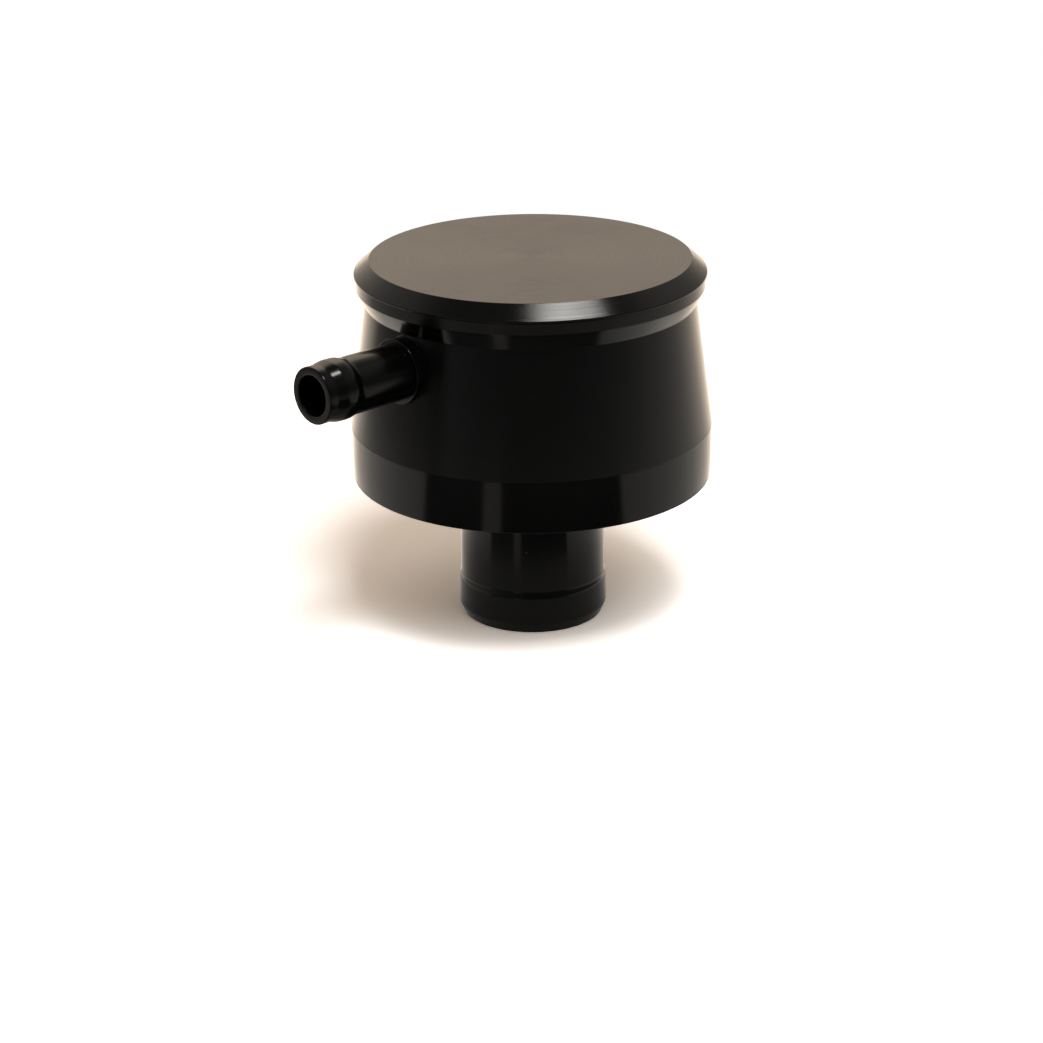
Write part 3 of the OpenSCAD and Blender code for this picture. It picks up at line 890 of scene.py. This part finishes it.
def makePad(node, form, shape):
    radius, edge = shape["radius"], shape["edge"]
    outline = rounded([(0, form["low"]), (radius, form["low"], edge),
                       (radius, form["high"], edge), (0, form["high"])], closed=False)
    points = []
    for (r0, z0), (r1, z1) in zip(outline, outline[1:]):
        rows = max(1, math.ceil(math.hypot(r1 - r0, z1 - z0) / shape["rowStep"]))
        points += [(r0 + (r1 - r0) * i / rows, z0 + (z1 - z0) * i / rows) for i in range(rows)]
    points.append(outline[-1])
    piece = turnedPiece(node + "_foam", points, filterFoam, segments=shape["segments"])
    addTree(piece, foamPores, Cell=shape["cell"], Depth=shape["poreDepth"], Seed=form["seed"],
            Material=filterFoam)
    settle(piece)
    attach(piece, "housing")
    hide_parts(node)


for padNode, padForm in padForms.items():
    makePad(padNode, padForm, padShape)
print("filter pads made")


# Pieces that keep their CAD mesh

dressed = {
    "splash_baffle": bareAlloy, "lower_screen": screenSteel, "upper_screen": screenSteel,
    "snap_ring": springSteel,
}
for number in (1, 2, 3, 4):
    dressed[f"baffle_post_{number}"] = fixingSteel
    dressed[f"baffle_screw_{number}"] = fixingSteel

for nodeName, material in dressed.items():
    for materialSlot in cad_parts[nodeName].material_slots:
        materialSlot.material = material
print("inner pieces dressed")


# Studio: a pale floor that clips to white, two lamps that only cast the shadow, one strip lamp
# that only shows as gloss, and two dark cards that paint dark reflections. What the cap reflects
# of floor and room is set by direction, apart from what the camera sees; on the floor that is
# painted light and shade, set by place as well. Lengths and radii here are in metres.

studio = {
    "back": (0.678, 0.735),         # away from the camera, in plan
    "left": (-0.735, 0.678),
    "floorRadius": 3.0, "floorSegments": 96,
    "floorDrop": 0.03 * mm,         # below the cap's foot
    "floorBounce": (0.80, 0.79, 0.77),
    "floorGain": 1.7,               # for the camera only, so that the lit floor clips to white
    "surroundings": [(0.0, (0.34, 0.26, 0.19)), (0.6, (0.44, 0.36, 0.29)),
                     (1.0, (0.44, 0.36, 0.29))],
    "overhead": 0.09,
    # painted brightness of the reflected floor, and brightness of the room, by direction, from the
    # front, 0, to the back, 1
    "floorRamp": [(0.0, 0.065), (0.25, 0.165), (0.5, 0.35), (0.67, 0.50), (0.82, 0.80),
                  (0.93, 1.28), (0.97, 1.42), (1.0, 1.40)],
    "roomRamp": [(0.0, 0.05), (0.25, 0.11), (0.5, 0.22), (0.7, 0.32), (0.85, 0.37),
                 (0.91, 0.44), (0.967, 0.63), (1.0, 0.86)],
    "floorWarm": 1.0, "roomWarm": 0.7,      # the level from which they are fully warm
    "warmFrom": 0.2, "warmShift": (0.15, -0.04, -0.23),
    "lampAim": (0, 0, 0.06),
}
# Reflected floor, with painted light and shade by place: painted shade far out on the left, a
# painted shadow under the cap, painted light near it and towards the back. Pairs are where a change
# starts and ends
floorLook = {
    "level": 0.87,
    "shadeSide": (0.76, 0.88), "shadeRadius": (0.15, 0.28), "shade": 0.6,
    "liftSide": (0.0, 0.5), "liftBack": (0.6, 0.85), "lift": 0.15,
    "glowRadius": (0.5, 0.13), "glow": (0.20, 0.195, 0.18),
    "closeRadius": (0.115, 0.085), "closeBack": (-0.1, 0.5), "closeGain": (0.3, 0.75),
    "paintedShadowRadius": (0.045, 0.08), "paintedShadowLevel": 0.42,
    "litShare": 0.25, "ownLight": 0.9,
    "whiteRadius": (0.13, 0.3),     # for the camera: pure white beyond
}
# Reflected room, by the height of the direction
roomLook = {
    "sideHeight": (0.6, 0.3), "side": 0.42,
    "riseHeight": (0.15, 0.6), "rise": (-0.33, 0.87), "riseBack": (0.95, 0.99),
    "overheadHeight": (0.70, 0.88),
}
softboxes = {
    "shadowBox": {"direction": (-0.205, -0.44, 1.0), "distance": 1.6, "size": (0.48, 0.50),
                  "power": 11.5, "colour": (1.0, 1.0, 1.0), "inReflections": False},
    "shadowFill": {"direction": (-0.24, -0.81, 1.0), "distance": 1.6, "size": (0.95, 0.78),
                   "power": 8.0, "colour": (1.0, 1.0, 1.0), "inReflections": False},
    "glossStrip": {"direction": (0.035, -0.275, 1.0), "distance": 1.6, "size": (1.02, 0.28),
                   "power": 14.6, "colour": (1.0, 0.97, 0.93), "inReflections": True},
}


def rampColour(tree, flat, levels, full):
    # Brightness by direction in plan. It is warmer up to the level that full names
    backness = vector(tree, "DOT_PRODUCT", flat, (*studio["back"], 0))
    start = studio["warmFrom"]
    top = max(level for place, level in levels)
    stops = []
    for place, level in levels:
        warmth = min(1.0, max(0.0, (level - start) / (full - start)))
        stops.append((place, [level / top * (1 + warmth * shift) for shift in studio["warmShift"]]))
    colour = ramp(tree, between(tree, backness, -1, 1, smooth=False), stops)
    return vector(tree, "SCALE", colour, scale=top)


def inReflection(tree, path):
    return calc(tree, "MAXIMUM", path.outputs["Is Glossy Ray"], path.outputs["Is Transmission Ray"])


def floorMaterial(look):
    material, tree = emptyMaterial("paleFloor")
    path = addNode(tree, "ShaderNodeLightPath")
    spot = addNode(tree, "ShaderNodeTexCoord").outputs["Object"]
    x, y, z = split(tree, spot)
    radius = vector(tree, "LENGTH", combine(tree, x, y, 0))
    flat = vector(tree, "NORMALIZE", combine(tree, x, y, 0))
    leftness = vector(tree, "DOT_PRODUCT", flat, (*studio["left"], 0))
    backness = vector(tree, "DOT_PRODUCT", flat, (*studio["back"], 0))
    # The floor as reflections see it: painted brightness by direction, painted shade far out on the
    # left and painted light towards the back
    shade = calc(tree, "MULTIPLY", between(tree, leftness, *look["shadeSide"], 0, look["shade"]),
                 between(tree, radius, *look["shadeRadius"]))
    lift = calc(tree, "MULTIPLY", between(tree, leftness, *look["liftSide"], 0, look["lift"]),
                between(tree, backness, *look["liftBack"]))
    level = calc(tree, "ADD", calc(tree, "SUBTRACT", look["level"], shade), lift)
    far = vector(tree, "SCALE", rampColour(tree, flat, studio["floorRamp"], studio["floorWarm"]),
                 scale=level)
    # Painted light near the cap, and more of it close behind
    nearness = between(tree, radius, *look["glowRadius"])
    mirror = blendColour(tree, nearness, far, (*look["glow"], 1), "ADD")
    close = between(tree, radius, *look["closeRadius"])
    rise = calc(tree, "MULTIPLY", close,
                between(tree, backness, *look["closeBack"], *look["closeGain"]))
    # Painted shadow under the cap
    paintedShadow = between(tree, radius, *look["paintedShadowRadius"], look["paintedShadowLevel"], 1.0)
    gain = calc(tree, "MULTIPLY", calc(tree, "ADD", 1.0, rise), paintedShadow)
    mirror = vector(tree, "SCALE", mirror, scale=gain)
    seen = inReflection(tree, path)
    bounce = blendColour(tree, path.outputs["Is Camera Ray"], (*studio["floorBounce"], 1),
                         (studio["floorGain"],) * 3 + (1,))
    albedo = blendColour(tree, seen, bounce, vector(tree, "SCALE", mirror, scale=look["litShare"]))
    diffuse = addNode(tree, "ShaderNodeBsdfDiffuse")
    feed(tree, diffuse.inputs["Color"], albedo)
    # In reflections the floor glows with this painted light and shade
    glow = addNode(tree, "ShaderNodeEmission")
    feed(tree, glow.inputs["Color"], mirror)
    feed(tree, glow.inputs["Strength"], calc(tree, "MULTIPLY", seen, look["ownLight"]))
    lit = addNode(tree, "ShaderNodeAddShader")
    feed(tree, lit.inputs[0], diffuse.outputs[0])
    feed(tree, lit.inputs[1], glow.outputs[0])
    white = addNode(tree, "ShaderNodeEmission")
    distant = calc(tree, "MULTIPLY", between(tree, radius, *look["whiteRadius"]),
                   path.outputs["Is Camera Ray"])
    surface = addNode(tree, "ShaderNodeMixShader")
    feed(tree, surface.inputs[0], distant)
    feed(tree, surface.inputs[1], lit.outputs[0])
    feed(tree, surface.inputs[2], white.outputs[0])
    clear = addNode(tree, "ShaderNodeBsdfTransparent")
    under = addNode(tree, "ShaderNodeMixShader")
    feed(tree, under.inputs[0], addNode(tree, "ShaderNodeNewGeometry").outputs["Backfacing"])
    feed(tree, under.inputs[1], surface.outputs[0])
    feed(tree, under.inputs[2], clear.outputs[0])
    feed(tree, addNode(tree, "ShaderNodeOutputMaterial").inputs["Surface"], under.outputs[0])
    return material


def makeFloor():
    shape = bmesh.new()
    bmesh.ops.create_circle(shape, cap_ends=True, segments=studio["floorSegments"],
                            radius=studio["floorRadius"])
    shape.transform(Matrix.Translation((0, 0, -studio["floorDrop"])))
    floor = pieceFromShape("floor", shape)
    floor.data.materials.append(floorMaterial(floorLook))


def makeWorld(look):
    world = bpy.data.worlds.new("studioWorld")
    world.use_nodes = True
    tree = world.node_tree
    tree.nodes.clear()
    path = addNode(tree, "ShaderNodeLightPath")
    towards = addNode(tree, "ShaderNodeTexCoord").outputs["Generated"]
    x, y, z = split(tree, vector(tree, "NORMALIZE", towards))
    flat = vector(tree, "NORMALIZE", combine(tree, x, y, 0))
    side = calc(tree, "MULTIPLY", vector(tree, "DOT_PRODUCT", flat, (*studio["left"], 0)),
                between(tree, z, *look["sideHeight"], 0, look["side"]))
    backness = vector(tree, "DOT_PRODUCT", flat, (*studio["back"], 0))
    height = between(tree, z, *look["riseHeight"], *look["rise"], smooth=False)
    rise = calc(tree, "MULTIPLY", height, between(tree, backness, *look["riseBack"]))
    room = vector(tree, "SCALE", rampColour(tree, flat, studio["roomRamp"], studio["roomWarm"]),
                  scale=calc(tree, "ADD", calc(tree, "ADD", 1.0, side), rise))
    mirror = blendColour(tree, between(tree, z, *look["overheadHeight"]), room,
                         (studio["overhead"],) * 3 + (1,))
    seen = inReflection(tree, path)
    soft = ramp(tree, z, studio["surroundings"])
    colour = blendColour(tree, seen, soft, mirror)
    colour = blendColour(tree, path.outputs["Is Camera Ray"], colour, (1, 1, 1, 1))
    background = addNode(tree, "ShaderNodeBackground")
    feed(tree, background.inputs["Color"], colour)
    feed(tree, addNode(tree, "ShaderNodeOutputWorld").inputs["Surface"], background.outputs[0])
    scene.world = world


def makeSoftbox(name, box):
    data = bpy.data.lights.new(name, "AREA")
    data.shape = "RECTANGLE"
    data.size, data.size_y = box["size"]
    data.energy = box["power"]
    data.color = box["colour"]
    lamp = bpy.data.objects.new(name, data)
    direction = Vector(box["direction"]).normalized()
    lamp.location = Vector(studio["lampAim"]) + direction * box["distance"]
    lamp.rotation_euler = direction.to_track_quat("Z", "Y").to_euler()
    lamp.visible_glossy = box["inReflections"]
    lamp.visible_diffuse = not box["inReflections"]
    collection.objects.link(lamp)


# Angles in degrees from the camera's direction in plan, lengths in mm
flagForms = {
    "flagLeft": {"from": -62, "to": -26.7, "inner": 55, "outer": 210, "shade": 0.05},
    "flagRight": {"from": -17, "to": 50, "inner": 55, "outer": 210, "shade": 0.035},
}
flagHeight = 0.2
flagSteps = 24


def makeFlag(name, form):
    # A dark card that lies on the floor in front and shows only in reflections: a painted dark
    # reflection, which blocks no light and casts no shadow
    forward = math.atan2(-studio["back"][1], -studio["back"][0])
    shape = bmesh.new()
    rows = []
    for i in range(flagSteps + 1):
        angle = forward + math.radians(form["from"] + (form["to"] - form["from"]) * i / flagSteps)
        rows.append([shape.verts.new((math.cos(angle) * r * mm, math.sin(angle) * r * mm,
                                      flagHeight * mm))
                     for r in (form["inner"], form["outer"])])
    for first, second in zip(rows, rows[1:]):
        shape.faces.new((first[0], first[1], second[1], second[0]))
    flag = pieceFromShape(name, shape)
    material, tree = emptyMaterial(name)
    glow = addNode(tree, "ShaderNodeEmission")
    glow.inputs["Color"].default_value = (form["shade"],) * 3 + (1,)
    feed(tree, addNode(tree, "ShaderNodeOutputMaterial").inputs["Surface"], glow.outputs[0])
    flag.data.materials.append(material)
    flag.visible_camera = False
    flag.visible_diffuse = False
    flag.visible_shadow = False


makeFloor()
makeWorld(roomLook)
for boxName, box in softboxes.items():
    makeSoftbox(boxName, box)
for flagName, flagForm in flagForms.items():
    makeFlag(flagName, flagForm)
scene.view_settings.view_transform = "Standard"
print("studio made")
